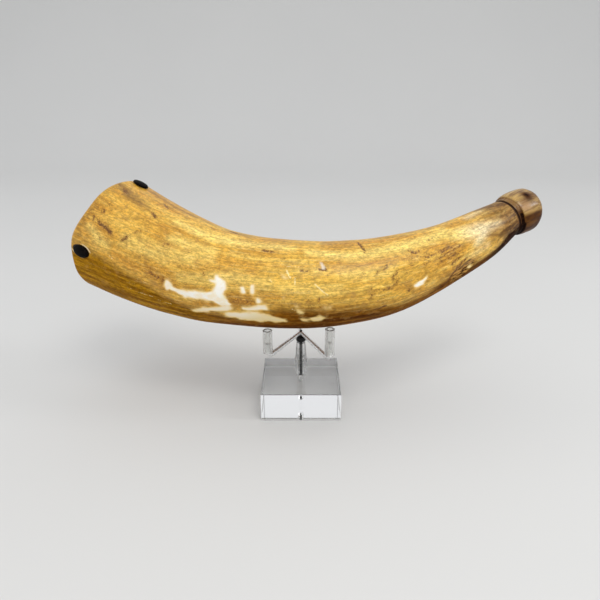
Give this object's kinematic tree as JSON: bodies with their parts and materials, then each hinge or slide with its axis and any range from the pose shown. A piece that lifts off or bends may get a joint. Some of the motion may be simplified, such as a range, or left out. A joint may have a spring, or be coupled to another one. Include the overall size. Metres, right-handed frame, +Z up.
{
  "type": "powder horn",
  "caption": "Curved, polished powder horn with a carved pouring knob, pegged butt plug and a clear block stand whose bent arms carry it.",
  "frame": {"origin": "centre of the clear block's underside, on the surface that it stands on", "axes": "+X towards the pouring knob, +Y towards the back, +Z up; the front that the picture shows faces -Y"},
  "size_m": [0.2981, 0.1062, 0.1416],
  "materials": {
    "horn": "polished horn",
    "plug_wood": "oiled",
    "dark_peg": "dark, satin",
    "clear_acrylic": "clear, polished",
    "chrome": "bright",
    "clear_vinyl": "clear, slightly cloudy"
  },
  "bodies": {
    "root": {"horn": "horn", "horn_tip": "horn", "horn_knob": "horn", "butt_plug": "plug_wood", "peg_front": "dark_peg", "peg_top": "dark_peg", "peg_back": "dark_peg", "display_base": "clear_acrylic", "cradle": "chrome", "sleeve_front_left": "clear_vinyl", "sleeve_front_right": "clear_vinyl", "sleeve_back": "clear_vinyl"}
  },
  "joints": []
}
